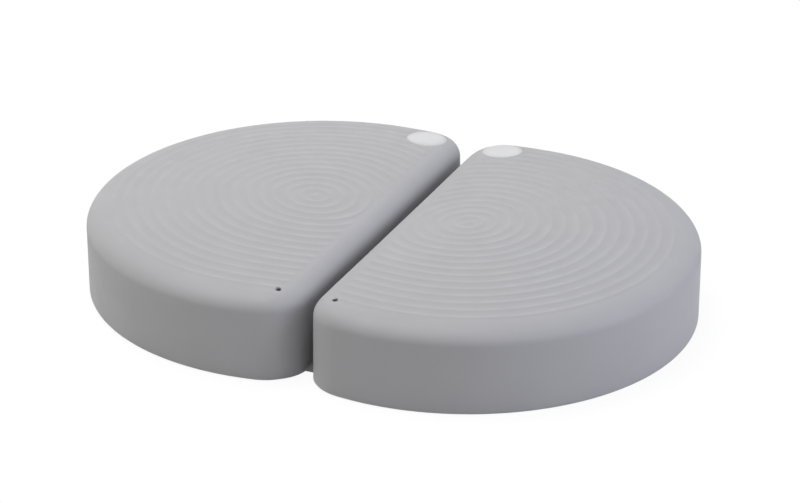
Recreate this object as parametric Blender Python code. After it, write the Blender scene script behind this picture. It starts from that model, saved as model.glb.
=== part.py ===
"""Twin-chamber balance cushion: two half-moon air chambers, joined at floor level by a flexible web.

Lengths are in metres. +X runs across the two halves, +Y along the slit between them, away from the
valves, and +Z up. The origin lies on the floor, in the middle of the slit. Each half is drawn once,
as the right one, and mirrored for the left.
"""
from math import acos, atan2, ceil, cos, hypot, pi, radians, sin, sqrt

import bmesh
import bpy
from mathutils import Vector
from mathutils.geometry import delaunay_2d_cdt

# Plan of one half: a circle's arc, a straight side along the slit, and two rounded corners
ARC_RADIUS = 0.190
ARC_CENTRE_X = 0.065
CORNER_RADIUS = 0.037
SLIT_WIDTH = 0.0065

# Section of one half: upright walls, a rounded shoulder and a crowned top
RIM_HEIGHT = 0.070
CROWN_RISE = 0.0062
CROWN_PEAK_X = 0.115
CROWN_CORNER_FULLNESS = 8
SHOULDER_WIDTH = 0.015
OUTER_SHOULDER_EXTRA = 0.005
SHOULDER_DROP = 0.012
FOOT_RADIUS = 0.0015
SKIN = 0.003
BASE_SKIN = 0.004

# Concentric ridges moulded into the top
RING_COUNT = 15
RING_PITCH = 0.011
RING_HEIGHT = 0.0006
RING_CENTRE_X = 0.068
RING_FIELD_MARGIN = 0.004

# Needle valve, in the rounded corner at the near end: a rubber bung held in a boss under the top skin
VALVE_FROM_SLIT = 0.0208
VALVE_INSET = 0.0174
NEEDLE_HOLE_DIAMETER = 0.0032
BUNG_HEAD_DIAMETER = 0.009
BUNG_HEAD_HEIGHT = 0.003
BUNG_STEM_DIAMETER = 0.006
BUNG_STEM_LENGTH = 0.010
BUNG_STEM_SHOWING = 0.001
FUNNEL_DEPTH = 0.004
FUNNEL_TIP_DIAMETER = 0.001
BOSS_WALL = 0.0032

# Badge, in the corner at the far end: a thin domed disc, bonded into a shallow seat in the top
BADGE_FROM_SLIT = 0.0317
BADGE_INSET = 0.0286
BADGE_DIAMETER = 0.0345
BADGE_SEAT_DEPTH = 0.0008
BADGE_EDGE_PROUD = 0.0006
BADGE_DOME_RISE = 0.0008

# Web: the flexible strip between the feet of the two straight sides, and a little past their ends
WEB_THICKNESS = 0.003
WEB_PAST_STRAIGHT = 0.0075
WEB_ABOVE_FLOOR = 0.0005

# Gap kept between pieces that touch, and how far a cutter runs past what it cuts
CLEARANCE = 0.0003
CUT_PAST = 0.002

# How far a flat facet may leave the true curve
OUTLINE_FACET = 0.00035
RING_FACET = 0.0006
INNER_FACET = 0.0012

SHOULDER_ROW_COUNT = 3
INNER_SHOULDER_ROW_COUNT = 2
SIDE_SPAN_COUNT = 10
INNER_SIDE_SPAN_COUNT = 4
INNER_SHEET_PITCH = 0.050
BADGE_SIDE_COUNT = 28
BADGE_CIRCLE_COUNT = 2
BORE_SIDE_COUNT = 16
BOSS_SIDE_COUNT = 20
WEB_END_SPAN_COUNT = 4
SMOOTH_ANGLE = radians(40)

SLIT_SIDE_X = SLIT_WIDTH / 2
CORNER_X = SLIT_SIDE_X + CORNER_RADIUS
CORNER_Y = sqrt((ARC_RADIUS - CORNER_RADIUS) ** 2 - (CORNER_X - ARC_CENTRE_X) ** 2)
TANGENT_ANGLE = atan2(CORNER_Y, CORNER_X - ARC_CENTRE_X)
VALVE_X = SLIT_SIDE_X + VALVE_FROM_SLIT
VALVE_Y = -CORNER_Y - sqrt((CORNER_RADIUS - VALVE_INSET) ** 2 - (VALVE_X - CORNER_X) ** 2)
BADGE_X = SLIT_SIDE_X + BADGE_FROM_SLIT
BADGE_Y = CORNER_Y + sqrt((CORNER_RADIUS - BADGE_INSET) ** 2 - (BADGE_X - CORNER_X) ** 2)
BUNG_HEAD_TOP = -SKIN - CLEARANCE
BUNG_HEAD_UNDER = BUNG_HEAD_TOP - BUNG_HEAD_HEIGHT
BUNG_STEM_END = BUNG_HEAD_UNDER - BUNG_STEM_LENGTH
BOSS_BOTTOM = BUNG_STEM_END + BUNG_STEM_SHOWING
BOSS_RADIUS = BUNG_HEAD_DIAMETER / 2 + CLEARANCE + BOSS_WALL
WEB_MIDDLE_Z = WEB_ABOVE_FLOOR + WEB_THICKNESS / 2


def clear_scene():
    """Removes every object that the file holds."""
    for old in list(bpy.data.objects):
        bpy.data.objects.remove(old, do_unlink=True)


def material(name, colour, roughness, metallic=0.0):
    """A plain surface of one colour."""
    made = bpy.data.materials.new(name)
    made.use_nodes = True
    shader = made.node_tree.nodes["Principled BSDF"]
    shader.inputs["Base Color"].default_value = (*colour, 1.0)
    shader.inputs["Roughness"].default_value = roughness
    shader.inputs["Metallic"].default_value = metallic
    made.diffuse_color = (*colour, 1.0)
    return made


def spans_for(radius, sweep, facet):
    """An even count of straight spans, so many that none leaves the arc by more than the facet depth."""
    step = 2 * acos(1 - min(facet / radius, 0.5))
    return 2 * max(1, ceil(sweep / step / 2))


def outline(inset, facet, flat_spans):
    """Plan points of the right half, anticlockwise, moved in from its edge by the inset."""
    points = []
    arc_spans = spans_for(ARC_RADIUS, 2 * TANGENT_ANGLE, facet)
    for i in range(arc_spans):
        angle = TANGENT_ANGLE * (2 * i / arc_spans - 1)
        reach = ARC_RADIUS - inset
        points.append((ARC_CENTRE_X + reach * cos(angle), reach * sin(angle)))
    corner_sweep = pi - TANGENT_ANGLE
    corner_spans = spans_for(CORNER_RADIUS, corner_sweep, facet)
    reach = CORNER_RADIUS - inset
    for i in range(corner_spans):
        angle = TANGENT_ANGLE + corner_sweep * i / corner_spans
        points.append((CORNER_X + reach * cos(angle), CORNER_Y + reach * sin(angle)))
    for i in range(flat_spans):
        points.append((SLIT_SIDE_X + inset, CORNER_Y * (1 - 2 * i / flat_spans)))
    for i in range(corner_spans):
        angle = pi + corner_sweep * i / corner_spans
        points.append((CORNER_X + reach * cos(angle), -CORNER_Y + reach * sin(angle)))
    return points


def inset_at(x, y):
    """How far a plan point of the right half lies in from the edge."""
    along = abs(y)
    if along > CORNER_Y and (x - ARC_CENTRE_X) * CORNER_Y < along * (CORNER_X - ARC_CENTRE_X):
        return CORNER_RADIUS - hypot(x - CORNER_X, along - CORNER_Y)
    return min(x - SLIT_SIDE_X, ARC_RADIUS - hypot(x - ARC_CENTRE_X, y))


def crown(x, y):
    """Rise of the inflated top, which is nought along the rim and goes on falling outside it."""
    from_peak = hypot(x - CROWN_PEAK_X, y)
    if from_peak == 0:
        return CROWN_RISE
    rim_radius = ARC_RADIUS - SHOULDER_WIDTH
    rim_side_x = SLIT_SIDE_X + SHOULDER_WIDTH
    off_centre = CROWN_PEAK_X - ARC_CENTRE_X
    along_ray = off_centre * (x - CROWN_PEAK_X) / from_peak
    to_arc = -along_ray + sqrt(along_ray ** 2 - off_centre ** 2 + rim_radius ** 2)
    share_to_arc = from_peak / to_arc
    share_to_side = max(0.0, (CROWN_PEAK_X - x) / (CROWN_PEAK_X - rim_side_x))
    power = CROWN_CORNER_FULLNESS
    share = (share_to_arc ** power + share_to_side ** power) ** (1 / power)
    return CROWN_RISE * (1 - share ** 2)


def shoulder_width_at(x):
    """Width of the rounded edge, which is least along the slit and grows towards the outer side."""
    from_x = SLIT_SIDE_X + SHOULDER_WIDTH
    share = max(0.0, min(1.0, (x - from_x) / (ARC_CENTRE_X - from_x)))
    return SHOULDER_WIDTH + OUTER_SHOULDER_EXTRA * share ** 2 * (3 - 2 * share)


def top_under(x, y, depth):
    """Height of the surface that lies a depth under the unridged top; its edge is a quarter ellipse."""
    width = shoulder_width_at(x) - depth
    left = max(0.0, min(1.0, 1 - (inset_at(x, y) - depth) / width))
    fall = depth + (SHOULDER_DROP - depth) * (1 - sqrt(1 - left ** 2))
    return RIM_HEIGHT + crown(x, y) - fall


def plain_top(x, y):
    """Height of the top without its ridges."""
    return top_under(x, y, 0.0)


def ridge(x, y):
    """Height of the concentric ridges, with their crests at whole pitches."""
    turns = hypot(x - RING_CENTRE_X, y) / RING_PITCH
    return RING_HEIGHT * (1 + cos(2 * pi * turns)) / 2


def circle_parts(radius, facet, least_inset):
    """Runs of points on a circle round the ridges' centre, each kept inside the least inset."""
    spans = spans_for(radius, 2 * pi, facet)

    def point(turn):
        angle = 2 * pi * turn / spans
        return (RING_CENTRE_X + radius * cos(angle), radius * sin(angle))

    def is_inside(turn):
        return inset_at(*point(turn)) >= least_inset

    def crossing(inside_turn, outside_turn):
        for _ in range(24):
            middle = (inside_turn + outside_turn) / 2
            if is_inside(middle):
                inside_turn = middle
            else:
                outside_turn = middle
        return point(inside_turn)

    if all(is_inside(turn) for turn in range(spans)):
        closed = [point(turn) for turn in range(spans)]
        return [closed + closed[:1]]
    parts = []
    for turn in range(spans):
        if is_inside(turn) and not is_inside(turn - 1):
            run = [crossing(turn, turn - 1)]
            last = turn
            while is_inside(last):
                run.append(point(last))
                last += 1
            run.append(crossing(last - 1, last))
            parts.append(run)
    return parts


def sheet_over(mesh, rim_verts, radii, facet, least_inset, height):
    """Closes a ring of vertices with a sheet laid out on circles and lifted to a height."""
    plan = [Vector((vert.co.x, vert.co.y)) for vert in rim_verts]
    edges = []
    index_of = {}

    def index(point):
        key = (round(point[0], 6), round(point[1], 6))
        if key not in index_of:
            index_of[key] = len(plan)
            plan.append(Vector(point))
        return index_of[key]

    for radius in radii:
        for run in circle_parts(radius, facet, least_inset):
            numbers = [index(point) for point in run]
            edges += [(a, b) for a, b in zip(numbers, numbers[1:]) if a != b]
    index((RING_CENTRE_X, 0.0))
    rim = list(range(len(rim_verts)))
    laid = delaunay_2d_cdt(plan, edges, [rim], 1, 1e-7)
    verts = []
    for point, origins in zip(laid[0], laid[3]):
        if origins and origins[0] < len(rim_verts):
            verts.append(rim_verts[origins[0]])
        else:
            verts.append(mesh.verts.new((point.x, point.y, height(point.x, point.y))))
    for face in laid[2]:
        mesh.faces.new([verts[i] for i in face])


def skin_rows(depth, facet, flat_spans, shoulder_rows):
    """Rows of points up the wall and over the shoulder, at a depth under the outer surface."""
    rows = []
    width = SHOULDER_WIDTH - depth
    for i in range(shoulder_rows + 1):
        angle = pi / 2 * i / shoulder_rows
        plan = outline(depth + width * (1 - cos(angle)), facet, flat_spans)
        rows.append([(x, y, top_under(x, y, depth)) for x, y in plan])
    return rows


def join_rows(mesh, rows):
    """Joins rows of points, bottom row first, by quads that face out, and returns their vertices."""
    made = [[mesh.verts.new(point) for point in row] for row in rows]
    for low, high in zip(made, made[1:]):
        for i in range(len(low)):
            after = (i + 1) % len(low)
            mesh.faces.new((low[i], low[after], high[after], high[i]))
    return made


def outer_form():
    """The right half's outer surface: flat base, foot edge, wall, shoulder and ridged top."""
    mesh = bmesh.new()
    foot = [(x, y, 0.0) for x, y in outline(FOOT_RADIUS, OUTLINE_FACET, SIDE_SPAN_COUNT)]
    wall_foot = [(x, y, FOOT_RADIUS) for x, y in outline(0.0, OUTLINE_FACET, SIDE_SPAN_COUNT)]
    rows = [foot, wall_foot] + skin_rows(0.0, OUTLINE_FACET, SIDE_SPAN_COUNT, SHOULDER_ROW_COUNT)
    made = join_rows(mesh, rows)
    mesh.faces.new(list(reversed(made[0])))
    half_pitches = [RING_PITCH * i / 2 for i in range(1, 2 * RING_COUNT + 1)]
    least_inset = SHOULDER_WIDTH + RING_FIELD_MARGIN
    sheet_over(mesh, made[-1], half_pitches, RING_FACET, least_inset,
               lambda x, y: plain_top(x, y) + ridge(x, y))
    return mesh


def air_space_form():
    """The space inside the right half: its surface lies one skin under the outer one."""
    mesh = bmesh.new()
    rows = skin_rows(SKIN, INNER_FACET, INNER_SIDE_SPAN_COUNT, INNER_SHOULDER_ROW_COUNT)
    floor = [(x, y, BASE_SKIN) for x, y, _ in rows[0]]
    made = join_rows(mesh, [floor] + rows)
    mesh.faces.new(list(reversed(made[0])))
    reach = ARC_RADIUS - SHOULDER_WIDTH
    circles = [INNER_SHEET_PITCH * i for i in range(1, int(reach / INNER_SHEET_PITCH) + 1)]
    least_inset = SHOULDER_WIDTH + RING_FIELD_MARGIN
    sheet_over(mesh, made[-1], circles, INNER_FACET, least_inset,
               lambda x, y: top_under(x, y, SKIN))
    return mesh


def turned_form(profile, sides, x, y, z):
    """A solid of revolution from (radius, height) points, bottom first, which start and end on the axis."""
    mesh = bmesh.new()
    rings = []
    for radius, height in profile[1:-1]:
        ring = []
        for i in range(sides):
            angle = 2 * pi * i / sides
            ring.append(mesh.verts.new((x + radius * cos(angle), y + radius * sin(angle), z + height)))
        rings.append(ring)
    bottom = mesh.verts.new((x, y, z + profile[0][1]))
    top = mesh.verts.new((x, y, z + profile[-1][1]))
    for i in range(sides):
        after = (i + 1) % sides
        mesh.faces.new((bottom, rings[0][after], rings[0][i]))
        mesh.faces.new((top, rings[-1][i], rings[-1][after]))
        for low, high in zip(rings, rings[1:]):
            mesh.faces.new((low[i], low[after], high[after], high[i]))
    return mesh


def valve_bore_form():
    """The valve's bore: needle hole through the skin, then room for the bung's head and stem."""
    needle = NEEDLE_HOLE_DIAMETER / 2
    head = BUNG_HEAD_DIAMETER / 2 + CLEARANCE
    stem = BUNG_STEM_DIAMETER / 2 + CLEARANCE
    under = BUNG_HEAD_UNDER - CLEARANCE
    profile = [(0, BOSS_BOTTOM - CUT_PAST), (stem, BOSS_BOTTOM - CUT_PAST), (stem, under), (head, under),
               (head, -SKIN), (needle, -SKIN), (needle, CUT_PAST), (0, CUT_PAST)]
    return turned_form(profile, BORE_SIDE_COUNT, VALVE_X, VALVE_Y, plain_top(VALVE_X, VALVE_Y))


def bung_form():
    """The rubber bung: a stem under a wider head, with a funnel that guides the needle."""
    profile = [(0, BUNG_STEM_END), (BUNG_STEM_DIAMETER / 2, BUNG_STEM_END),
               (BUNG_STEM_DIAMETER / 2, BUNG_HEAD_UNDER), (BUNG_HEAD_DIAMETER / 2, BUNG_HEAD_UNDER),
               (BUNG_HEAD_DIAMETER / 2, BUNG_HEAD_TOP), (NEEDLE_HOLE_DIAMETER / 2, BUNG_HEAD_TOP),
               (FUNNEL_TIP_DIAMETER / 2, BUNG_HEAD_TOP - FUNNEL_DEPTH), (0, BUNG_HEAD_TOP - FUNNEL_DEPTH)]
    return turned_form(profile, BORE_SIDE_COUNT, VALVE_X, VALVE_Y, plain_top(VALVE_X, VALVE_Y))


def round_column(centre_x, centre_y, radius, sides, circles, low_height, high_height):
    """A round upright solid between two heights, each a function of x, y and the share of the radius."""
    mesh = bmesh.new()
    sheets = []
    for height in (low_height, high_height):
        rings = []
        for number in range(1, circles + 1):
            share = number / circles
            ring = []
            for i in range(sides):
                angle = 2 * pi * i / sides
                x = centre_x + radius * share * cos(angle)
                y = centre_y + radius * share * sin(angle)
                ring.append(mesh.verts.new((x, y, height(x, y, share))))
            rings.append(ring)
        middle = mesh.verts.new((centre_x, centre_y, height(centre_x, centre_y, 0.0)))
        sheets.append((middle, rings))
    (low_middle, low), (high_middle, high) = sheets
    for i in range(sides):
        after = (i + 1) % sides
        mesh.faces.new((high_middle, high[0][i], high[0][after]))
        mesh.faces.new((low_middle, low[0][after], low[0][i]))
        for inner, outer in zip(high, high[1:]):
            mesh.faces.new((inner[i], outer[i], outer[after], inner[after]))
        for inner, outer in zip(low, low[1:]):
            mesh.faces.new((inner[after], outer[after], outer[i], inner[i]))
        mesh.faces.new((low[-1][i], low[-1][after], high[-1][after], high[-1][i]))
    return mesh


def boss_form():
    """The boss that holds the bung: its top follows the skin, and lies halfway down in it."""
    foot = plain_top(VALVE_X, VALVE_Y) + BOSS_BOTTOM
    return round_column(VALVE_X, VALVE_Y, BOSS_RADIUS, BOSS_SIDE_COUNT, 1,
                        lambda x, y, share: foot,
                        lambda x, y, share: plain_top(x, y) - SKIN / 2)


def badge_form():
    """The badge: a disc that follows the top, a little proud at its edge and domed in the middle."""
    return round_column(BADGE_X, BADGE_Y, BADGE_DIAMETER / 2, BADGE_SIDE_COUNT, BADGE_CIRCLE_COUNT,
                        lambda x, y, share: plain_top(x, y) - BADGE_SEAT_DEPTH,
                        lambda x, y, share: plain_top(x, y) + BADGE_EDGE_PROUD
                        + BADGE_DOME_RISE * (1 - share ** 2))


def badge_seat_form():
    """The cutter of the badge's seat: the badge grown by the clearance, and open above."""
    return round_column(BADGE_X, BADGE_Y, BADGE_DIAMETER / 2 + CLEARANCE,
                        BADGE_SIDE_COUNT, BADGE_CIRCLE_COUNT,
                        lambda x, y, share: plain_top(x, y) - BADGE_SEAT_DEPTH - CLEARANCE,
                        lambda x, y, share: plain_top(x, y) + CUT_PAST)


def web_form():
    """The web: a flat strip whose sides follow the feet of both halves, a clearance away."""
    reach = CORNER_RADIUS + CLEARANCE
    side = []
    for i in range(WEB_END_SPAN_COUNT + 1):
        along = WEB_PAST_STRAIGHT * i / WEB_END_SPAN_COUNT
        side.append((CORNER_X - sqrt(reach ** 2 - along ** 2), CORNER_Y + along))
    right = [(x, -y) for x, y in reversed(side)] + side
    plan = right + [(-x, y) for x, y in reversed(right)]
    mesh = bmesh.new()
    floor = mesh.faces.new([mesh.verts.new((x, y, WEB_ABOVE_FLOOR)) for x, y in plan])
    raised = bmesh.ops.extrude_face_region(mesh, geom=[floor])
    top = [item for item in raised["geom"] if isinstance(item, bmesh.types.BMVert)]
    bmesh.ops.translate(mesh, verts=top, vec=(0, 0, WEB_THICKNESS))
    bmesh.ops.recalc_face_normals(mesh, faces=mesh.faces)
    return mesh


def mirrored(form):
    """The left half's form: the right one's, turned over the slit's middle plane."""
    for vert in form.verts:
        vert.co.x = -vert.co.x
    bmesh.ops.reverse_faces(form, faces=form.faces)
    return form


def make_object(name, form, finish=None, pivot=None):
    """Turns a form into a named object, hung on a pivot where it has one."""
    mesh = bpy.data.meshes.new(name)
    form.to_mesh(mesh)
    form.free()
    mesh.shade_smooth()
    mesh.set_sharp_from_angle(angle=SMOOTH_ANGLE)
    made = bpy.data.objects.new(name, mesh)
    bpy.context.collection.objects.link(made)
    if finish:
        mesh.materials.append(finish)
    if pivot:
        made.parent = pivot
        made.location = -pivot.location
    return made


def shape_with(body, tool, operation):
    """Adds or cuts a guide solid, which itself stays hidden."""
    tool.hide_render = True
    tool.display_type = "WIRE"
    change = body.modifiers.new(f"{operation.lower()} {tool.name}", "BOOLEAN")
    change.operation = operation
    change.solver = "EXACT"
    change.object = tool


def build_half(side, finishes, pivot):
    """One half: its chamber, the bung of its valve and its badge."""
    turn = mirrored if side == "left" else (lambda form: form)
    vinyl, rubber, badge_white = finishes
    chamber = make_object(f"{side}_chamber", turn(outer_form()), vinyl, pivot)
    air_space = make_object(f"{side}_air_space_guide", turn(air_space_form()))
    boss = make_object(f"{side}_boss_guide", turn(boss_form()))
    bore = make_object(f"{side}_valve_bore_guide", turn(valve_bore_form()))
    seat = make_object(f"{side}_badge_seat_guide", turn(badge_seat_form()))
    shape_with(chamber, air_space, "DIFFERENCE")
    shape_with(chamber, boss, "UNION")
    shape_with(chamber, bore, "DIFFERENCE")
    shape_with(chamber, seat, "DIFFERENCE")
    make_object(f"{side}_valve_bung", turn(bung_form()), rubber, pivot)
    make_object(f"{side}_badge", turn(badge_form()), badge_white, pivot)


def build():
    """Builds the cushion: left half, web, and the right half on its hinge line."""
    clear_scene()
    vinyl = material("grey_vinyl", (0.50, 0.50, 0.52), 0.55)
    web_vinyl = material("web_vinyl", (0.42, 0.42, 0.43), 0.6)
    rubber = material("bung_rubber", (0.05, 0.05, 0.05), 0.7)
    badge_white = material("badge_white", (0.80, 0.80, 0.80), 0.25)
    pivot = bpy.data.objects.new("right_half_pivot", None)
    bpy.context.collection.objects.link(pivot)
    pivot.location = (0.0, 0.0, WEB_MIDDLE_Z)
    finishes = (vinyl, rubber, badge_white)
    build_half("left", finishes, None)
    build_half("right", finishes, pivot)
    make_object("hinge_web", web_form(), web_vinyl)


build()
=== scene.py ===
"""Looks of a twin-chamber balance cushion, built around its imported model.

Lengths are in metres, in the model's own frame: +X across the two halves, +Y along the slit, away from
the valves, and +Z up. Each half is laid out as the right one, and mirrored for the left.
"""

import logging
from collections.abc import Callable
from dataclasses import dataclass, field
from enum import Enum
from math import atan2, ceil, cos, log, pi, radians, sin, sqrt

import bmesh
import bpy
import numpy as np
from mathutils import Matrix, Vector
from mathutils.geometry import delaunay_2d_cdt


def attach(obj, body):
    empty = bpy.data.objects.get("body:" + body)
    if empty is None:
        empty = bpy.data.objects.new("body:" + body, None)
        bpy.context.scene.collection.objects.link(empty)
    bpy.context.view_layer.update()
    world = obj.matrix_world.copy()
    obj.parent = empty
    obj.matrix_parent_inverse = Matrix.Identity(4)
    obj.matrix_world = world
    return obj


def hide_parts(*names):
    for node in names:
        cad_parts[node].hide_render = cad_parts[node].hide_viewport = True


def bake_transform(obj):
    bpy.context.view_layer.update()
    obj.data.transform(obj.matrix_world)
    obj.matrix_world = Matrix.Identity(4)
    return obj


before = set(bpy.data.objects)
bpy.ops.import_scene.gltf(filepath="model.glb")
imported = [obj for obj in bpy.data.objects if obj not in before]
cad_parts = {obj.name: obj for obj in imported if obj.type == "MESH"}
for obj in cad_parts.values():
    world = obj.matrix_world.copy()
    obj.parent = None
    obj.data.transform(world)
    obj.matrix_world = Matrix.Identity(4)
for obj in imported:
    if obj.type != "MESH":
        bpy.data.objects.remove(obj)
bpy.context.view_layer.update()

LOG = logging.getLogger("balance_cushion")
REST_PLACE = "rest_place"
# Attribute of the rings' crests: painted shade in the vinyl's colour, and a polish in its roughness.
CREST_SHADE_AND_POLISH = "rub_and_crest_shade"
# Attribute of the badge's rim, where painted shade darkens its colour.
BADGE_EDGE_SHADE = "badge_edge_shade"
SLOPE_STEP = 0.00002
TINY = 1e-9
KEEP_INSIDE = 1

Pair = tuple[float, float]
Colour = Point = tuple[float, float, float]
Loop = list[int]
Socket = bpy.types.NodeSocket
PlanFunction = Callable[[np.ndarray, np.ndarray], np.ndarray]


class Side(Enum):
    """The two halves of the cushion."""

    LEFT = "left"
    RIGHT = "right"

    @property
    def body(self) -> str:
        """Name of the body that this half's pieces ride on."""
        return f"{self.value}_half"


class Slot(Enum):
    """The record's material slots."""

    VINYL = "vinyl"
    WEB = "web_vinyl"
    RUBBER = "bung_rubber"
    BADGE = "badge"


def smooth_step(value: np.ndarray, low: float, high: float) -> np.ndarray:
    """Rises smoothly from nought at the low value to one at the high one.

    Args:
        value: What is looked at.
        low: Where the rise starts.
        high: Where the rise ends.

    Returns:
        The share of the rise, from nought to one.
    """
    share = np.clip((np.asarray(value, float) - low) / (high - low), 0.0, 1.0)
    return share * share * (3.0 - 2.0 * share)


def slopes(height: PlanFunction, x: np.ndarray, y: np.ndarray) -> tuple[np.ndarray, np.ndarray]:
    """How steeply a function of the plan rises along x and along y.

    Args:
        height: The function.
        x: The points' x.
        y: The points' y.

    Returns:
        The two slopes.
    """
    along_x = (height(x + SLOPE_STEP, y) - height(x - SLOPE_STEP, y)) / (2 * SLOPE_STEP)
    along_y = (height(x, y + SLOPE_STEP) - height(x, y - SLOPE_STEP)) / (2 * SLOPE_STEP)
    return along_x, along_y


def arc_plan(centre: Pair, radius: float, turn: np.ndarray) -> np.ndarray:
    """Plan points round a centre, at the given turns."""
    return np.column_stack([centre[0] + radius * np.cos(turn), centre[1] + radius * np.sin(turn)])


def circle_plan(centre: Pair, radius: float, sides: int, shift: float = 0.0) -> np.ndarray:
    """Plan points on a circle, anticlockwise, shifted by a part of a side."""
    return arc_plan(centre, radius, 2 * pi * (np.arange(sides) + shift) / sides)


def aim(name: str, data: bpy.types.ID, target: Vector, azimuth: float, elevation: float,
        distance: float) -> bpy.types.Object:
    """Stands a camera or a lamp off from a point and turns it to face that point.

    Args:
        name: The object's name.
        data: The camera or the light.
        target: The point that it faces.
        azimuth: Turn from the front towards the right, in radians.
        elevation: Height over the floor, in radians.
        distance: How far off it stands.

    Returns:
        The camera's or the lamp's object.
    """
    level = cos(elevation)
    back = Vector((sin(azimuth) * level, -cos(azimuth) * level, sin(elevation)))
    made = bpy.data.objects.new(name, data)
    bpy.context.scene.collection.objects.link(made)
    made.location = target + back * distance
    made.rotation_mode = "QUATERNION"
    made.rotation_quaternion = (-back).to_track_quat("-Z", "Y")
    return made


class NodeBench:
    """Lays out the nodes of a material or of the surroundings."""

    def __init__(self, owner: bpy.types.Material | bpy.types.World) -> None:
        """Starts with the nodes that a new owner has.

        Args:
            owner: What the nodes are for.
        """
        owner.use_nodes = True
        self.owner = owner
        self.nodes = owner.node_tree.nodes
        self.links = owner.node_tree.links

    def feed(self, socket: Socket, value: object) -> None:
        """Gives an input its value.

        Args:
            socket: The input.
            value: A socket that it is linked to, or else what it is set to.
        """
        if isinstance(value, Socket):
            self.links.new(value, socket)
        else:
            socket.default_value = value

    def fill(self, node: bpy.types.Node, **values: object) -> bpy.types.Node:
        """Feeds a node's inputs.

        Args:
            node: The node.
            values: What each input gets, by its name with an underscore for a space.

        Returns:
            The node.
        """
        for name, value in values.items():
            self.feed(node.inputs[name.replace("_", " ")], value)
        return node

    def add(self, kind: str, **values: object) -> bpy.types.Node:
        """Adds a node and feeds its inputs."""
        return self.fill(self.nodes.new(kind), **values)

    def reckon(self, operation: str, *values: float | Socket) -> Socket:
        """Works out a number from others.

        Args:
            operation: What is done with them.
            values: The numbers, in order.

        Returns:
            The result.
        """
        node = self.nodes.new("ShaderNodeMath")
        node.operation = operation
        for socket, value in zip(node.inputs, values):
            self.feed(socket, value)
        return node.outputs["Value"]

    def mix(self, share: float | Socket, first: bpy.types.Node, second: bpy.types.Node) -> bpy.types.Node:
        """Mixes two shaders.

        Args:
            share: How much of the second one there is.
            first: The first shader.
            second: The second shader.

        Returns:
            The mixed shader.
        """
        node = self.add("ShaderNodeMixShader", Fac=share)
        self.feed(node.inputs[1], first.outputs[0])
        self.feed(node.inputs[2], second.outputs[0])
        return node


class MaterialBench(NodeBench):
    """Lays out the nodes of a piece's material."""

    def __init__(self, name: str, place: str | None = None) -> None:
        """Starts a material.

        Args:
            name: The material's name.
            place: The attribute that holds each point's place at rest, or None for the object's own
                coordinates.
        """
        super().__init__(bpy.data.materials.new(name))
        self.shader = self.nodes["Principled BSDF"]
        if place:
            self.place = self.attribute(place, "Vector")
        else:
            self.place = self.add("ShaderNodeTexCoord").outputs["Object"]

    def noise(self, size: float, detail: float = 2.0, roughness: float = 0.5) -> Socket:
        """A noise whose lumps are about the given size.

        Args:
            size: Size of a lump, in metres.
            detail: How many finer layers it has.
            roughness: How strong the finer layers are.

        Returns:
            The noise's output, about one half on average.
        """
        return self.add("ShaderNodeTexNoise", Scale=1.0 / size, Detail=detail, Roughness=roughness,
                        Vector=self.place).outputs["Fac"]

    def cells(self, size: float) -> Socket:
        """Distance to the middle of the nearest cell, for a pebbled grain.

        Args:
            size: Size of a cell, in metres.

        Returns:
            The distance, in cells.
        """
        node = self.add("ShaderNodeTexVoronoi", Scale=1.0 / size, Vector=self.place)
        node.feature = "SMOOTH_F1"
        return node.outputs["Distance"]

    def attribute(self, name: str, output: str = "Fac") -> Socket:
        """The value of a mesh attribute.

        Args:
            name: The attribute's name.
            output: The node's output that gives it.

        Returns:
            The value.
        """
        node = self.add("ShaderNodeAttribute")
        node.attribute_name = name
        return node.outputs[output]

    def spread(self, value: Socket, low: float, high: float, start: float = 0.3,
               end: float = 0.7) -> Socket:
        """Maps a value onto a range.

        Args:
            value: What is mapped.
            low: What the start of the value gives.
            high: What its end gives.
            start: Value that gives the low end.
            end: Value that gives the high end.

        Returns:
            The mapped value.
        """
        return self.add("ShaderNodeMapRange", Value=value, From_Min=start, From_Max=end, To_Min=low,
                        To_Max=high).outputs["Result"]

    def scaled(self, value: Socket, factor: float) -> Socket:
        """Scales a value that runs from nought to one."""
        return self.spread(value, 0.0, factor, 0.0, 1.0)

    def blend_colours(self, share: Socket, first: Colour | Socket, second: Colour) -> Socket:
        """Goes from one colour to another.

        Args:
            share: How much of the second colour there is.
            first: The first colour, or a socket that gives it.
            second: The second colour.

        Returns:
            The blended colour.
        """
        node = self.add("ShaderNodeMix")
        node.data_type = "RGBA"
        self.feed(node.inputs["Factor"], share)
        first_input, second_input = [one for one in node.inputs if one.type == "RGBA"]
        self.feed(first_input, (*first, 1.0) if isinstance(first, tuple) else first)
        self.feed(second_input, (*second, 1.0))
        return [one for one in node.outputs if one.type == "RGBA"][0]

    def mottle(self, first: Colour | Socket, second: Colour, noise: Socket, share: float = 1.0) -> Socket:
        """Lets a second colour show in a first one by a noise, at most by the given share."""
        return self.blend_colours(self.spread(noise, 0.0, share), first, second)

    def relief(self, height: Socket, depth: float, under: Socket | None = None) -> Socket:
        """Fine relief that only the light shows.

        Args:
            height: The relief's height, from nought to one.
            depth: Its real depth, in metres.
            under: The normal of a coarser relief that it lies on.

        Returns:
            The normal.
        """
        node = self.add("ShaderNodeBump", Strength=1.0, Distance=depth, Height=height)
        if under:
            self.fill(node, Normal=under)
        return node.outputs["Normal"]


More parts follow.
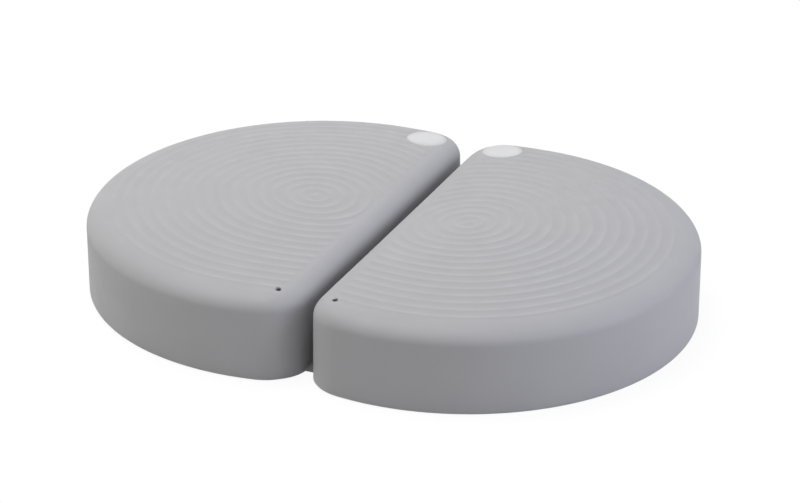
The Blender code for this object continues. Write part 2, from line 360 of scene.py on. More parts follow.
@dataclass(frozen=True)
class VinylFinish:
    """Soft matte vinyl: even pigment with a faint cloud in it, and the fine grain of a blasted mould."""

    name: str = "grey_vinyl"
    colour: Colour = (0.505, 0.505, 0.520)
    cloud: Colour = (0.485, 0.485, 0.500)
    # Painted shade: the darker colour laid on the rings' crests.
    crest_shaded: Colour = (0.480, 0.480, 0.495)
    crest_shade_share: float = 0.5
    rub_polish: float = 0.08
    roughness: Pair = (0.51, 0.61)
    cloud_size: float = 0.045
    smears_per_cloud: float = 3.0
    fleck_size: float = 0.0022
    fleck_share: float = 0.5
    grain_size: float = 0.00045
    grain_depth: float = 0.000022
    peel_size: float = 0.0024
    peel_depth: float = 0.000030
    specular: float = 0.4
    refraction: float = 1.5
    place: str | None = None

    def material(self) -> bpy.types.Material:
        """Builds the material.

        Returns:
            The material.
        """
        bench = MaterialBench(self.name, self.place)
        clouded = bench.mottle(self.colour, self.cloud, bench.noise(self.cloud_size, detail=3.0))
        flecked = bench.mottle(clouded, self.cloud, bench.noise(self.fleck_size), self.fleck_share)
        # Painted shade: the rings' crests are darkened in colour, and made a little less rough.
        rub_and_crest_shade = bench.attribute(CREST_SHADE_AND_POLISH)
        crest_shaded = bench.blend_colours(bench.scaled(rub_and_crest_shade, self.crest_shade_share), flecked, self.crest_shaded)
        smears = bench.spread(bench.noise(self.cloud_size / self.smears_per_cloud, detail=3.0),
                              *self.roughness)
        rough = bench.reckon("SUBTRACT", smears, bench.scaled(rub_and_crest_shade, self.rub_polish))
        peel = bench.relief(bench.noise(self.peel_size, detail=1.0), self.peel_depth)
        grain = bench.relief(bench.cells(self.grain_size), self.grain_depth, peel)
        bench.fill(bench.shader, Base_Color=crest_shaded, Roughness=rough, Normal=grain,
                   Specular_IOR_Level=self.specular, IOR=self.refraction)
        return bench.owner


@dataclass(frozen=True)
class WebFinish(VinylFinish):
    """The web's vinyl, set darker as painted shade of the deep slit it lies in, whose texture stays on it
    as it bends.
    """

    name: str = "web_vinyl"
    # Painted shade: these darker colours stand in for the shade at the foot of the slit.
    colour: Colour = (0.33, 0.33, 0.34)
    cloud: Colour = (0.30, 0.30, 0.31)
    cloud_size: float = 0.012
    place: str | None = REST_PLACE


@dataclass(frozen=True)
class BadgeFinish:
    """Off-white moulded plastic with a soft gloss, hair-fine rubbing marks, and a thin rim painted darker
    as shade where the dome rounds away.
    """

    name: str = "badge_white"
    colour: Colour = (0.675, 0.675, 0.680)
    shade: Colour = (0.645, 0.645, 0.650)
    # Painted shade: the darker colour of the disc's rounded rim.
    edge: Colour = (0.610, 0.610, 0.615)
    roughness: Pair = (0.29, 0.41)
    coat: float = 0.15
    coat_roughness: float = 0.20
    cloud_size: float = 0.009
    rub_size: float = 0.0009
    rub_depth: float = 0.000004
    refraction: float = 1.49

    def material(self) -> bpy.types.Material:
        """Builds the material.

        Returns:
            The material.
        """
        bench = MaterialBench(self.name)
        clouded = bench.mottle(self.colour, self.shade, bench.noise(self.cloud_size, detail=3.0))
        # Painted shade: the rim's darker colour is blended in by the rim attribute.
        colour = bench.blend_colours(bench.attribute(BADGE_EDGE_SHADE), clouded, self.edge)
        rough = bench.spread(bench.noise(self.rub_size, detail=4.0, roughness=0.7), *self.roughness)
        rub_and_crest_shade = bench.relief(bench.noise(self.rub_size, detail=3.0), self.rub_depth)
        bench.fill(bench.shader, Base_Color=colour, Roughness=rough, Normal=rub_and_crest_shade, Coat_Weight=self.coat,
                   Coat_Roughness=self.coat_roughness, IOR=self.refraction)
        return bench.owner


@dataclass(frozen=True)
class RubberFinish:
    """Dark rubber with a dusty bloom."""

    name: str = "bung_rubber"
    colour: Colour = (0.030, 0.030, 0.032)
    bloom: Colour = (0.085, 0.083, 0.080)
    roughness: Pair = (0.62, 0.82)
    bloom_size: float = 0.0012
    grain_size: float = 0.00025
    grain_depth: float = 0.000015

    def material(self) -> bpy.types.Material:
        """Builds the material.

        Returns:
            The material.
        """
        bench = MaterialBench(self.name)
        dust = bench.noise(self.bloom_size, detail=4.0, roughness=0.6)
        colour = bench.mottle(self.colour, self.bloom, dust)
        rough = bench.spread(bench.noise(self.bloom_size), *self.roughness)
        grain = bench.relief(bench.noise(self.grain_size), self.grain_depth)
        bench.fill(bench.shader, Base_Color=colour, Roughness=rough, Normal=grain)
        return bench.owner


@dataclass
class Skin:
    """Vertices and faces of a piece while it is built."""

    points: list[Point] = field(default_factory=list)
    faces: list[Loop] = field(default_factory=list)
    normals: dict[int, Point] = field(default_factory=dict)
    flat_enough: float = radians(12)
    square_enough: float = radians(45)

    def add_row(self, plan: np.ndarray, height: np.ndarray | float) -> Loop:
        """Adds a row of points.

        Args:
            plan: Their plan points, one per line.
            height: Their height, or each one's own.

        Returns:
            The points' numbers.
        """
        start = len(self.points)
        row = np.column_stack([plan, np.broadcast_to(height, len(plan))])
        self.points += [tuple(point) for point in row.tolist()]
        return list(range(start, len(self.points)))

    def join(self, low: Loop, high: Loop, closed: bool = True) -> None:
        """Joins two rows of equal length by four-sided faces.

        Args:
            low: The first row, which runs anticlockwise as seen from the face's outer side.
            high: The second row, above the first.
            closed: Whether the rows close on themselves.
        """
        count = len(low)
        for i in range(count if closed else count - 1):
            after = (i + 1) % count
            self.faces.append([low[i], low[after], high[after], high[i]])

    def join_all(self, rows: list[Loop], closed: bool = True) -> None:
        """Joins each row to the next one."""
        for low, high in zip(rows, rows[1:]):
            self.join(low, high, closed)

    def cap(self, row: Loop, point: Point) -> None:
        """Closes a row by a fan round one point.

        Args:
            row: The row, anticlockwise as seen from outside.
            point: The fan's middle.
        """
        middle = self.add_row(np.array([point[:2]]), point[2])[0]
        for i, number in enumerate(row):
            self.faces.append([number, row[(i + 1) % len(row)], middle])

    def mirror(self) -> None:
        """Turns the skin over the plane between the halves."""
        self.points = [(-x, y, z) for x, y, z in self.points]
        self.normals = {i: (-x, y, z) for i, (x, y, z) in self.normals.items()}
        self.faces = [face[::-1] for face in self.faces]

    def make(self, name: str, finish: bpy.types.Material, join_triangles: bool = False,
             **values: np.ndarray) -> bpy.types.Object:
        """Turns the skin into an object.

        Args:
            name: The object's name.
            finish: Its material.
            join_triangles: Whether neighbouring triangles are joined by twos where they fit.
            values: Numbers for the material, one per vertex, by the attribute's name.

        Returns:
            The object, shaded smooth.
        """
        mesh = bpy.data.meshes.new(name)
        mesh.from_pydata(self.points, [], self.faces)
        if join_triangles:
            form = bmesh.new()
            form.from_mesh(mesh)
            triangles = [face for face in form.faces if len(face.verts) == 3]
            bmesh.ops.join_triangles(form, faces=triangles, angle_face_threshold=self.flat_enough,
                                     angle_shape_threshold=self.square_enough)
            form.to_mesh(mesh)
            form.free()
        mesh.validate()
        mesh.shade_smooth()
        if self.normals:
            normals = [tuple(normal.vector) for normal in mesh.vertex_normals]
            for i, normal in self.normals.items():
                normals[i] = normal
            mesh.normals_split_custom_set_from_vertices(normals)
        place = mesh.attributes.new(REST_PLACE, "FLOAT_VECTOR", "POINT")
        place.data.foreach_set("vector", np.array(self.points, np.float32).ravel())
        for label, numbers in values.items():
            stored = mesh.attributes.new(label, "FLOAT", "POINT")
            stored.data.foreach_set("value", numbers.astype(np.float32))
        mesh.materials.append(finish)
        made = bpy.data.objects.new(name, mesh)
        bpy.context.scene.collection.objects.link(made)
        return made


@dataclass(frozen=True)
class ChamberShape:
    """Plan and section of the right half, as the solid model has them, with softer moulded details."""

    arc_radius: float = 0.190
    arc_centre_x: float = 0.065
    corner_radius: float = 0.037
    corner_density: float = 1.25
    slit_width: float = 0.0065
    rim_height: float = 0.070
    crown_rise: float = 0.0062
    crown_peak_x: float = 0.115
    crown_corner_fullness: float = 8.0
    shoulder_width: float = 0.015
    outer_shoulder_extra: float = 0.005
    shoulder_drop: float = 0.012
    foot_radius: float = 0.0015
    outer_foot_extra: float = 0.0015
    foot_growth: Pair = (0.001, 0.014)
    ring_pitch: float = 0.011
    ring_height: float = 0.0007
    ring_centre_x: float = 0.068
    first_crest: float = 0.0008
    ring_sharpness: float = 0.65
    last_ring: float = 0.165
    ring_fade_start: float = 0.0165
    ring_fade_end: float = 0.0215
    valve_from_slit: float = 0.0208
    valve_inset: float = 0.0174
    badge_from_slit: float = 0.0317
    badge_inset: float = 0.0286
    badge_radius: float = 0.01725
    seat_depth: float = 0.0011
    seat_lip: float = 0.00005
    plain_ring: float = 0.004

    @property
    def slit_side_x(self) -> float:
        """Where the straight side stands."""
        return self.slit_width / 2

    @property
    def corner_x(self) -> float:
        """X of the corners' centres."""
        return self.slit_side_x + self.corner_radius

    @property
    def corner_y(self) -> float:
        """Y of the far corner's centre."""
        return sqrt((self.arc_radius - self.corner_radius) ** 2 - (self.corner_x - self.arc_centre_x) ** 2)

    @property
    def valve(self) -> Pair:
        """Plan place of the valve, in the near corner."""
        x, y = self.corner_place(self.valve_from_slit, self.valve_inset)
        return x, -y

    @property
    def badge(self) -> Pair:
        """Plan place of the badge, in the far corner."""
        return self.corner_place(self.badge_from_slit, self.badge_inset)

    def corner_place(self, from_slit: float, inset: float) -> Pair:
        """Place in the far corner, by its distances from the straight side and from the corner's edge."""
        x = self.slit_side_x + from_slit
        return x, self.corner_y + sqrt((self.corner_radius - inset) ** 2 - (x - self.corner_x) ** 2)

    def outline(self, inset: float, spacing: float) -> np.ndarray:
        """Plan points round the half, anticlockwise.

        Args:
            inset: How far they lie in from the edge.
            spacing: Distance between points on the outer edge.

        Returns:
            The points; their count doesn't depend on the inset.
        """
        tangent = atan2(self.corner_y, self.corner_x - self.arc_centre_x)
        arc_spans = 2 * ceil(tangent * self.arc_radius / spacing)
        corner_spans = ceil((pi - tangent) * self.corner_radius / spacing * self.corner_density)
        flat_spans = ceil(2 * self.corner_y / spacing)
        arc = -tangent + 2 * tangent * np.arange(arc_spans) / arc_spans
        swing = (pi - tangent) * np.arange(corner_spans) / corner_spans
        reach = self.corner_radius - inset
        along = self.corner_y * (1 - 2 * np.arange(flat_spans) / flat_spans)
        return np.concatenate([
            arc_plan((self.arc_centre_x, 0.0), self.arc_radius - inset, arc),
            arc_plan((self.corner_x, self.corner_y), reach, tangent + swing),
            np.column_stack([np.full(flat_spans, self.slit_side_x + inset), along]),
            arc_plan((self.corner_x, -self.corner_y), reach, pi + swing)])

    def foot_at(self, x: np.ndarray) -> np.ndarray:
        """Radius of the rounded foot, which is small along the slit, where the web joins it."""
        start, end = (self.slit_side_x + reach for reach in self.foot_growth)
        return self.foot_radius + self.outer_foot_extra * smooth_step(x, start, end)

    def inset_at(self, x: np.ndarray, y: np.ndarray) -> np.ndarray:
        """How far plan points lie in from the edge.

        Args:
            x: The points' x.
            y: The points' y.

        Returns:
            The insets, below nought outside.
        """
        x, along = np.asarray(x, float), np.abs(y)
        past_line = (x - self.arc_centre_x) * self.corner_y < along * (self.corner_x - self.arc_centre_x)
        in_corner = past_line & (along > self.corner_y)
        corner = self.corner_radius - np.hypot(x - self.corner_x, along - self.corner_y)
        plain = np.minimum(x - self.slit_side_x, self.arc_radius - np.hypot(x - self.arc_centre_x, y))
        return np.where(in_corner, corner, plain)

    def crown(self, x: np.ndarray, y: np.ndarray) -> np.ndarray:
        """Rise of the inflated top over its rim.

        Args:
            x: The points' x.
            y: The points' y.

        Returns:
            The rise, nought along the rim.
        """
        from_peak = np.maximum(np.hypot(x - self.crown_peak_x, y), TINY)
        rim_radius = self.arc_radius - self.shoulder_width
        rim_side_x = self.slit_side_x + self.shoulder_width
        off_centre = self.crown_peak_x - self.arc_centre_x
        along_ray = off_centre * (x - self.crown_peak_x) / from_peak
        to_arc = -along_ray + np.sqrt(along_ray ** 2 - off_centre ** 2 + rim_radius ** 2)
        to_side = np.maximum(0.0, (self.crown_peak_x - x) / (self.crown_peak_x - rim_side_x))
        power = self.crown_corner_fullness
        share = ((from_peak / to_arc) ** power + to_side ** power) ** (1 / power)
        return self.crown_rise * (1 - share ** 2)

    def shoulder_fall(self, x: np.ndarray, y: np.ndarray) -> np.ndarray:
        """Fall of the rounded edge, which is wider on the outer side than along the slit.

        Args:
            x: The points' x.
            y: The points' y.

        Returns:
            The fall, nought inside the edge.
        """
        from_x = self.slit_side_x + self.shoulder_width
        outer = smooth_step(x, from_x, self.arc_centre_x)
        width = self.shoulder_width + self.outer_shoulder_extra * outer
        left = np.clip(1 - self.inset_at(x, y) / width, 0.0, 1.0)
        return self.shoulder_drop * (1 - np.sqrt(1 - left ** 2))

    def plain_top(self, x: np.ndarray, y: np.ndarray) -> np.ndarray:
        """Height of the top without rings or seat."""
        return self.rim_height + self.crown(x, y) - self.shoulder_fall(x, y)

    def plain_height(self, x: float, y: float) -> float:
        """Height of the top at one place, without rings or seat."""
        return float(self.plain_top(np.array([x]), np.array([y]))[0])

    def from_seat(self, x: np.ndarray, y: np.ndarray) -> np.ndarray:
        """Plan distance from the edge of the badge's seat, below nought inside it."""
        badge_x, badge_y = self.badge
        return np.hypot(x - badge_x, y - badge_y) - self.badge_radius

    def ring_strength(self, x: np.ndarray, y: np.ndarray) -> np.ndarray:
        """How much of the rings' height there is: all in the field, none by the rim and the badge.

        Args:
            x: The points' x.
            y: The points' y.

        Returns:
            Shares from nought to one.
        """
        radius = np.hypot(x - self.ring_centre_x, y)
        return (smooth_step(self.inset_at(x, y), self.ring_fade_start, self.ring_fade_end)
                * (1 - smooth_step(radius, self.last_ring, self.last_ring + self.ring_pitch / 2))
                * smooth_step(self.from_seat(x, y), self.seat_lip, self.seat_lip + self.plain_ring))

    def ring_wave(self, x: np.ndarray, y: np.ndarray) -> np.ndarray:
        """The rings' section: narrow crests with broad valleys between them.

        Args:
            x: The points' x.
            y: The points' y.

        Returns:
            Values from nought in a valley to one on a crest.
        """
        radius = np.hypot(x - self.ring_centre_x, y) - self.first_crest
        swell = -np.log(1 - self.ring_sharpness * np.cos(2 * pi * radius / self.ring_pitch))
        valley, crest = -log(1 + self.ring_sharpness), -log(1 - self.ring_sharpness)
        return (swell - valley) / (crest - valley)

    def ringed_top(self, x: np.ndarray, y: np.ndarray) -> np.ndarray:
        """Height of the top with its rings."""
        return self.plain_top(x, y) + self.ring_height * self.ring_strength(x, y) * self.ring_wave(x, y)

    def top(self, x: np.ndarray, y: np.ndarray) -> np.ndarray:
        """Height of the moulded top, with its rings and the badge's seat."""
        seat = 1 - smooth_step(self.from_seat(x, y), 0.0, self.seat_lip)
        return self.ringed_top(x, y) - self.seat_depth * seat

    def top_normals(self, x: np.ndarray, y: np.ndarray) -> np.ndarray:
        """Outward normals of the ringed top.

        Args:
            x: The points' x.
            y: The points' y.

        Returns:
            One normal per point.
        """
        along_x, along_y = slopes(self.ringed_top, x, y)
        normals = np.column_stack([-along_x, -along_y, np.ones_like(along_x)])
        return normals / np.linalg.norm(normals, axis=1)[:, None]


@dataclass
class Chamber:
    """One inflated half: base, foot, wall, shoulder, ringed top, and the pocket of its valve."""

    side: Side
    shape: ChamberShape
    finish: bpy.types.Material
    spacing: float = 0.0026
    wall_rows: int = 9
    foot_rows: int = 6
    shoulder_rows: int = 12
    rows_a_pitch: int = 8
    fewest_sides: int = 8
    field_reach: float = 0.21
    sheet_inset: float = 0.0125
    rim_margin: float = 0.0005
    first_rows: tuple[float, ...] = (0.0139, 0.0153, 0.0167, 0.0183)
    row_margin: float = 0.0008
    circle_margin: float = 0.001
    plan_weld: float = 1e-7
    lip_radius: float = 0.0031
    needle_radius: float = 0.0022
    lip_rows: int = 4
    hole_share: float = 0.99
    valve_circles: tuple[float, ...] = (0.0034, 0.0039, 0.0046, 0.0055, 0.0067)
    seat_circles: tuple[float, ...] = (-0.0052, -0.0026, -0.0008, 0.0, 0.00005, 0.0006, 0.0014, 0.0024,
                                       0.0036)
    lip_sides: int = 28
    seat_sides: int = 120
    skin: float = 0.003
    bung_head_radius: float = 0.0048
    bung_head_room: float = 0.0036
    bung_stem_radius: float = 0.0033
    bung_room: float = 0.0172
    base_row: float = 0.009
    lean: float = 0.0018
    lean_reach: float = 0.017
    corner_hold: float = 0.35
    hold_zone: Pair = (0.060, 0.165)

    def wall(self, skin: Skin) -> Loop:
        """Adds the base, foot, wall and shoulder.

        Args:
            skin: What is added to.

        Returns:
            The last row, along the rim of the top.
        """
        shape = self.shape
        inner = shape.outline(self.base_row, self.spacing)
        edge = shape.outline(0.0, self.spacing)
        inwards = (inner - edge) / self.base_row
        foot = shape.foot_at(edge[:, 0])
        rows = [skin.add_row(inner, 0.0)]
        for i in range(self.foot_rows + 1):
            angle = pi / 2 * i / self.foot_rows
            plan = edge + inwards * (foot * (1 - sin(angle)))[:, None]
            rows.append(skin.add_row(plan, foot * (1 - cos(angle))))
        spring = shape.plain_top(*edge.T)
        for i in range(1, self.wall_rows):
            rows.append(skin.add_row(edge, foot + (spring - foot) * (i / self.wall_rows)))
        for i in range(self.shoulder_rows + 1):
            angle = pi / 2 * i / self.shoulder_rows
            plan = shape.outline(self.sheet_inset * (1 - cos(angle)), self.spacing)
            rows.append(skin.add_row(plan, shape.plain_top(*plan.T)))
        skin.faces.append(rows[0][::-1])
        skin.join_all(rows)
        return rows[-1]

    def top_plan(self) -> tuple[np.ndarray, np.ndarray]:
        """Plan points of the top inside its rim.

        Returns:
            The valve lip's points, and all the others.
        """
        shape = self.shape
        around = [circle_plan(shape.valve, radius, self.lip_sides) for radius in self.valve_circles]
        around += [circle_plan(shape.badge, shape.badge_radius + radius, self.seat_sides)
                   for radius in self.seat_circles]
        around = np.concatenate(around)
        around = around[shape.inset_at(*around.T) > self.sheet_inset + self.rim_margin]
        centre = (shape.ring_centre_x, 0.0)
        parts = [shape.outline(inset, self.spacing) for inset in self.first_rows]
        parts.append(np.array([centre]))
        step = shape.ring_pitch / self.rows_a_pitch
        for i in range(1, int(self.field_reach / step)):
            radius = i * step + shape.first_crest
            sides = max(self.fewest_sides, round(2 * pi * radius / self.spacing))
            ring = circle_plan(centre, radius, sides, (i % 2) / 2)
            parts.append(ring[shape.inset_at(*ring.T) > self.first_rows[-1] + self.row_margin])
        laid = np.concatenate(parts)
        from_valve = np.hypot(*(laid - shape.valve).T)
        clear = ((from_valve > self.valve_circles[-1] + self.circle_margin)
                 & (shape.from_seat(*laid.T) > self.seat_circles[-1] + self.circle_margin))
        lip = circle_plan(shape.valve, self.lip_radius, self.lip_sides)
        return lip, np.concatenate([around, laid[clear]])

    def cover(self, skin: Skin, rim: Loop) -> Loop:
        """Adds the ringed top, with a hole for the valve.

        Args:
            skin: What is added to.
            rim: The row that it closes.

        Returns:
            The row round the hole.
        """
        shape = self.shape
        lip, others = self.top_plan()
        rim_plan = np.array([skin.points[i][:2] for i in rim])
        plan = np.concatenate([rim_plan, lip, others])
        lip_loop = list(range(len(rim), len(rim) + len(lip)))
        edges = list(zip(lip_loop, lip_loop[1:] + lip_loop[:1]))
        laid = delaunay_2d_cdt([Vector(point) for point in plan], edges, [list(range(len(rim)))],
                               KEEP_INSIDE, self.plan_weld)
        made_plan = np.array([tuple(point) for point in laid[0]])
        origins = [list(origin)[:1] for origin in laid[3]]
        new = [i for i, origin in enumerate(origins) if not origin or origin[0] >= len(rim)]
        x, y = made_plan[new].T
        numbers = dict(zip(new, skin.add_row(made_plan[new], shape.top(x, y))))
        for i, origin in enumerate(origins):
            if i not in numbers:
                numbers[i] = rim[origin[0]]
        for number, normal in zip([numbers[i] for i in new], shape.top_normals(x, y)):
            skin.normals[number] = tuple(normal)
        for number, normal in zip(rim, shape.top_normals(*rim_plan.T)):
            skin.normals[number] = tuple(normal)
        for face in laid[2]:
            middle = made_plan[list(face)].mean(axis=0)
            if np.linalg.norm(middle - shape.valve) > self.lip_radius * self.hole_share:
                skin.faces.append([numbers[i] for i in face])
        by_origin = {origin[0]: numbers[i] for i, origin in enumerate(origins) if origin}
        return [by_origin[i] for i in lip_loop]

    def pocket(self, skin: Skin, lip: Loop) -> None:
        """Adds the valve's rounded lip, needle hole and the room of its bung.

        Args:
            skin: What is added to.
            lip: The row round the hole in the top.
        """
        valve = self.shape.valve
        top = self.shape.plain_height(*valve)
        lip_heights = np.array([skin.points[i][2] for i in lip])
        rows = [lip]
        rounding = self.lip_radius - self.needle_radius
        for i in range(1, self.lip_rows + 1):
            angle = pi / 2 * i / self.lip_rows
            plan = circle_plan(valve, self.lip_radius - rounding * sin(angle), self.lip_sides)
            rows.append(skin.add_row(plan, lip_heights - rounding * (1 - cos(angle))))
        depths = [(self.needle_radius, self.skin), (self.bung_head_radius, self.skin),
                  (self.bung_head_radius, self.skin + self.bung_head_room),
                  (self.bung_stem_radius, self.skin + self.bung_head_room),
                  (self.bung_stem_radius, self.bung_room)]
        for radius, depth in depths:
            rows.append(skin.add_row(circle_plan(valve, radius, self.lip_sides), top - depth))
        skin.join_all(rows)
        skin.cap(rows[-1], (*valve, top - self.bung_room))
        for i in lip:
            skin.normals.pop(i, None)

    def lean_at(self, x: np.ndarray, y: np.ndarray) -> np.ndarray:
        """How far the top leans back from the slit, most along its middle and less by the stiff corners.

        Args:
            x: The points' x.
            y: The points' y.

        Returns:
            The leans, nought at the valve and beyond.
        """
        start = self.shape.slit_side_x
        held = self.corner_hold * smooth_step(np.abs(y), *self.hold_zone)
        return self.lean * (1 - smooth_step(x, start, start + self.lean_reach)) * (1 - held)

    def lean_back(self, skin: Skin) -> None:
        """Leans the slit side back towards its top, as the air in the half pushes it.

        Args:
            skin: What is leant; its set normals turn with it.
        """
        points = np.array(skin.points)
        x, y, z = points.T
        rise = z / self.shape.rim_height
        lean = self.lean_at(x, y)
        along_x, along_y = (rise * slope for slope in slopes(self.lean_at, x, y))
        along_z = lean / self.shape.rim_height
        for i, (normal_x, normal_y, normal_z) in skin.normals.items():
            normal_x /= 1 + along_x[i]
            turned = Vector((normal_x, normal_y - normal_x * along_y[i], normal_z - normal_x * along_z[i]))
            skin.normals[i] = tuple(turned.normalized())
        points[:, 0] += rise * lean
        skin.points = [tuple(point) for point in points.tolist()]

    def crest_shade_and_polish_at(self, x: np.ndarray, y: np.ndarray, z: np.ndarray) -> np.ndarray:
        """Share of painted shade and polish on each point, from nought to one: the rings' crests, and
        nothing off the top.
        """
        on_top = z > self.shape.rim_height - self.shape.ring_height
        return np.where(on_top, self.shape.ring_wave(x, y) * self.shape.ring_strength(x, y), 0.0)

    def build(self) -> bpy.types.Object:
        """Builds the half and hangs it on its body.

        Returns:
            The finished piece.
        """
        skin = Skin()
        rim = self.wall(skin)
        lip = self.cover(skin, rim)
        self.pocket(skin, lip)
        # Painted shade and polish for the rings' crests.
        rub_and_crest_shade = self.crest_shade_and_polish_at(*np.array(skin.points).T)
        self.lean_back(skin)
        if self.side is Side.LEFT:
            skin.mirror()
        made = skin.make(f"{self.side.value}_cushion", self.finish, join_triangles=True, **{CREST_SHADE_AND_POLISH: rub_and_crest_shade})
        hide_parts(f"{self.side.value}_chamber")
        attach(made, self.side.body)
        return made


@dataclass
class Badge:
    """The blank disc in the far corner: a soft dome with rounded edges, set into the top."""

    side: Side
    shape: ChamberShape
    finish: bpy.types.Material
    sides: int = 96
    dome_rows: int = 16
    rise: float = 0.0014
    edge_height: float = 0.0001
    fullness: float = 2.6
    softness: float = 0.55
    seat_depth: float = 0.0008
    seat_gap: float = 0.00005
    foot_round: float = 0.0003
    edge_shade_zone: float = 0.0040

    def build(self) -> bpy.types.Object:
        """Builds the badge and hangs it on its body.

        Returns:
            The finished piece.
        """
        shape = self.shape
        radius = shape.badge_radius - self.seat_gap
        section = [(radius - self.foot_round, -self.seat_depth),
                   (radius, -self.seat_depth + self.foot_round)]
        for i in range(self.dome_rows):
            share = cos(pi / 2 * i / self.dome_rows)
            dome = (1 - share ** self.fullness) ** self.softness
            section.append((radius * share, self.edge_height + (self.rise - self.edge_height) * dome))
        skin = Skin()
        rows = []
        for reach, height in section:
            plan = circle_plan(shape.badge, reach, self.sides)
            rows.append(skin.add_row(plan, shape.plain_top(*plan.T) + height))
        skin.join_all(rows)
        top = shape.plain_height(*shape.badge)
        skin.cap(rows[-1], (*shape.badge, top + self.rise))
        skin.cap(rows[0][::-1], (*shape.badge, top - self.seat_depth))
        x, y, _ = np.array(skin.points).T
        # Painted shade: the colour darkens towards the rim of the disc.
        edge = smooth_step(shape.from_seat(x, y), -self.edge_shade_zone, 0.0)
        if self.side is Side.LEFT:
            skin.mirror()
        made = skin.make(f"{self.side.value}_badge_disc", self.finish, **{BADGE_EDGE_SHADE: edge})
        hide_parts(f"{self.side.value}_badge")
        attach(made, self.side.body)
        return made


@dataclass
class HingeWeb:
    """The flexible strip between the feet of the halves, which bends where they fold."""

    shape: ChamberShape
    finish: bpy.types.Material
    past_straight: float = 0.0075
    bottom: float = 0.0005
    thickness: float = 0.003
    fillet: float = 0.0012
    sunk: float = 0.0004
    weld: float = 1e-6
    across: int = 16
    along: int = 150
    end_rows: int = 5

    def half_width(self, y: float) -> float:
        """Distance from the middle to the wall of a half."""
        past = max(0.0, abs(y) - self.shape.corner_y)
        return self.shape.corner_x - sqrt(self.shape.corner_radius ** 2 - past ** 2)

    def stations(self) -> list[Pair]:
        """Where the strip is cut across, from its near end to its far one.

        Returns:
            The y of each cut, and its share of the full thickness, which the rounded ends lessen.
        """
        half = self.thickness / 2
        end = self.shape.corner_y + self.past_straight - half
        turn = pi / 2 * np.arange(1, self.end_rows + 1) / self.end_rows
        rounded = [(end + half * sin(one), max(cos(one), 0.0)) for one in turn]
        straight = [(float(one), 1.0) for one in np.linspace(-end, end, self.along + 1)]
        return [(-y, share) for y, share in rounded[::-1]] + straight + rounded

    def build(self) -> bpy.types.Object:
        """Builds the web, in place between the two halves.

        Returns:
            The finished piece.
        """
        half = self.thickness / 2
        middle = self.bottom + half
        skin = Skin()
        tops, floors = [], []
        for y, share in self.stations():
            reach = self.half_width(y)
            x = np.linspace(-1, 1, self.across + 1) * (reach + self.sunk)
            plan = np.column_stack([x, np.full(len(x), y)])
            to_wall = np.clip((np.abs(x) - (reach - self.fillet)) / self.fillet, 0.0, 1.0)
            rise = self.fillet * (1 - np.sqrt(1 - to_wall ** 2))
            tops.append(skin.add_row(plan, middle + (half + rise) * share))
            floors.append(skin.add_row(plan, middle - half * share))
        skin.join_all(tops, closed=False)
        skin.join_all(floors[::-1], closed=False)
        skin.join([row[-1] for row in floors], [row[-1] for row in tops], closed=False)
        skin.join([row[0] for row in tops], [row[0] for row in floors], closed=False)
        made = skin.make("fold_web", self.finish)
        form = bmesh.new()
        form.from_mesh(made.data)
        bmesh.ops.remove_doubles(form, verts=form.verts, dist=self.weld)
        bmesh.ops.recalc_face_normals(form, faces=form.faces)
        form.to_mesh(made.data)
        form.free()
        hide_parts("hinge_web")
        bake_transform(made)
        return made


@dataclass
class ValveBung:
    """The rubber bung behind a needle hole, which keeps the solid model's own form."""

    side: Side
    finish: bpy.types.Material

    def dress(self) -> bpy.types.Object:
        """Gives the solid its rubber.

        Returns:
            The dressed piece.
        """
        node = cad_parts[f"{self.side.value}_valve_bung"]
        node.data.materials.clear()
        node.data.materials.append(self.finish)
        return node


@dataclass(frozen=True)
class SoftLamp:
    """One soft panel of the light tent, which faces the cushion."""

    name: str
    azimuth: float
    elevation: float
    power: float
    colour: Colour = (1.0, 1.0, 1.0)
    distance: float = 1.8
    size: float = 1.2

    def build(self) -> None:
        """Hangs the lamp."""
        light = bpy.data.lights.new(self.name, "AREA")
        light.shape = "RECTANGLE"
        light.size = light.size_y = self.size
        light.energy = self.power
        light.color = self.colour
        aim(self.name, light, Vector(), radians(self.azimuth), radians(self.elevation), self.distance)


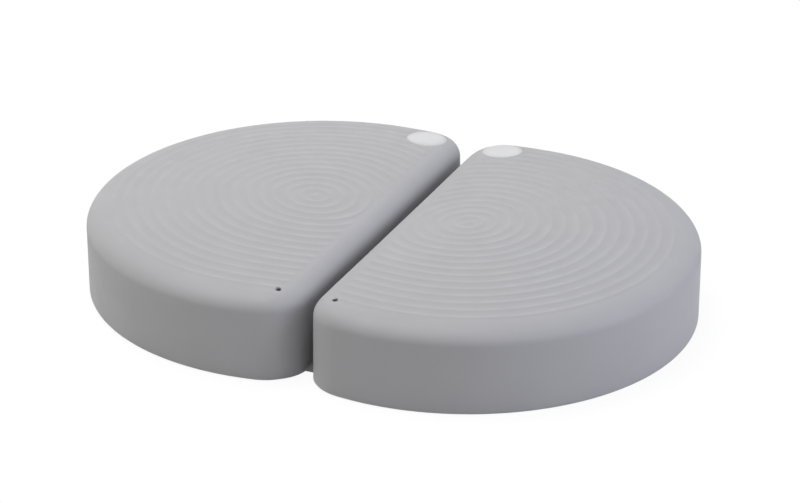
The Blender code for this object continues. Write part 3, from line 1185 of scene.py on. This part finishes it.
@dataclass
class Studio:
    """Floor, surroundings and soft lamps."""

    floor_radius: float = 6.0
    floor_height: float = -0.0002
    floor_sides: int = 64
    floor_rows: tuple[float, ...] = (1.0, 0.5, 0.2, 0.08)
    floor_bounce: float = 0.65
    floor_paleness: float = 0.9
    floor_veil: float = 0.14
    backdrop_strength: float = 1.07
    mirrored_strength: float = 0.93
    lamps: tuple[SoftLamp, ...] = (
        SoftLamp("left_high_panel", 270.0, 75.0, 20.9, (1.00, 0.99, 0.98)),
        SoftLamp("left_low_panel", 300.0, 10.0, 3.6, (1.00, 0.97, 0.93)),
        SoftLamp("front_low_panel", 330.0, 10.0, 4.6, (1.00, 0.96, 0.91)),
        SoftLamp("right_front_panel", 60.0, 10.0, 3.0, (0.97, 0.96, 1.00)),
        SoftLamp("right_low_panel", 90.0, 10.0, 2.6, (0.93, 0.95, 1.00)),
        SoftLamp("right_panel", 90.0, 28.0, 11.6, (0.85, 0.88, 1.00)),
        SoftLamp("back_panel", 180.0, 28.0, 1.1, (0.99, 0.99, 1.00)),
        SoftLamp("back_window", 203.0, 26.0, 1.9, (0.97, 0.98, 1.00), size=0.7),
        SoftLamp("left_back_panel", 240.0, 20.0, 3.2, (0.99, 1.00, 1.00)),
    )

    def floor(self) -> None:
        """Lays the floor, a hair below the feet, so that the two surfaces never coincide.

        It is white to the camera and keeps a soft shadow, but lets the camera and the lamps through to
        what a fold swings below it.
        """
        skin = Skin()
        rows = []
        for share in self.floor_rows:
            plan = circle_plan((0.0, 0.0), self.floor_radius * share, self.floor_sides)
            rows.append(skin.add_row(plan, self.floor_height))
        skin.join_all(rows)
        skin.cap(rows[-1], (0.0, 0.0, self.floor_height))
        skin.make("studio_floor", self.floor_material())

    def floor_material(self) -> bpy.types.Material:
        """Makes the floor's surface.

        Returns:
            The material.
        """
        bench = NodeBench(bpy.data.materials.new("studio_floor"))
        bench.nodes.remove(bench.nodes["Principled BSDF"])
        path = bench.add("ShaderNodeLightPath")
        bounce = bench.add("ShaderNodeBsdfDiffuse", Color=(*[self.floor_bounce] * 3, 1.0))
        pale = bench.add("ShaderNodeBsdfDiffuse", Color=(*[self.floor_paleness] * 3, 1.0))
        clear = bench.add("ShaderNodeBsdfTransparent")
        dim = bench.add("ShaderNodeEmission", Strength=self.mirrored_strength)
        seen = bench.mix(self.floor_veil, clear, pale)
        surface = bench.mix(path.outputs["Is Camera Ray"], bounce, seen)
        surface = bench.mix(path.outputs["Is Glossy Ray"], surface, dim)
        surface = bench.mix(path.outputs["Is Shadow Ray"], surface, clear)
        bench.fill(bench.nodes["Material Output"], Surface=surface.outputs[0])
        return bench.owner

    def surroundings(self) -> None:
        """Sets the surroundings: white to the camera, dim in reflections, and no light of their own."""
        bench = NodeBench(bpy.data.worlds.new("studio_air"))
        bpy.context.scene.world = bench.owner
        path = bench.add("ShaderNodeLightPath")
        seen = bench.reckon("MULTIPLY", path.outputs["Is Camera Ray"], self.backdrop_strength)
        strength = bench.reckon("MULTIPLY_ADD", path.outputs["Is Glossy Ray"], self.mirrored_strength, seen)
        bench.fill(bench.nodes["Background"], Strength=strength, Color=(1.0, 1.0, 1.0, 1.0))

    def build(self) -> None:
        """Sets up the floor, the surroundings and the lamps."""
        self.floor()
        self.surroundings()
        for lamp in self.lamps:
            lamp.build()
        bpy.context.scene.view_settings.view_transform = "Standard"


@dataclass
class PhotoCamera:
    """A camera that stands where the photograph was taken from."""

    azimuth: float = radians(23.39)
    elevation: float = radians(24.84)
    distance: float = 2.488
    target: tuple[float, float, float] = (-0.0250, 0.0761, 0.0)
    focal_pixels: float = 2936.25
    picture_width: int = 800
    sensor: float = 36.0

    def build(self) -> None:
        """Sets the camera up."""
        data = bpy.data.cameras.new("photo_camera")
        data.sensor_width = self.sensor
        data.lens = self.focal_pixels / self.picture_width * self.sensor
        bpy.context.scene.camera = aim("photo_camera", data, Vector(self.target), self.azimuth,
                                       self.elevation, self.distance)


def report(piece: bpy.types.Object) -> None:
    """Logs a finished piece."""
    LOG.info("%s: %d vertices, %d faces", piece.name, len(piece.data.vertices), len(piece.data.polygons))


def main() -> None:
    """Builds and dresses the cushion, its studio and its camera."""
    logging.basicConfig(level=logging.INFO, format="%(name)s: %(message)s")
    PhotoCamera().build()
    Studio().build()
    shape = ChamberShape()
    vinyl = VinylFinish().material()
    web_vinyl = WebFinish().material()
    rubber = RubberFinish().material()
    badge_white = BadgeFinish().material()
    for side in Side:
        report(Chamber(side, shape, vinyl).build())
        report(Badge(side, shape, badge_white).build())
        report(ValveBung(side, rubber).dress())
    report(HingeWeb(shape, web_vinyl).build())


if __name__ == "__main__":
    main()
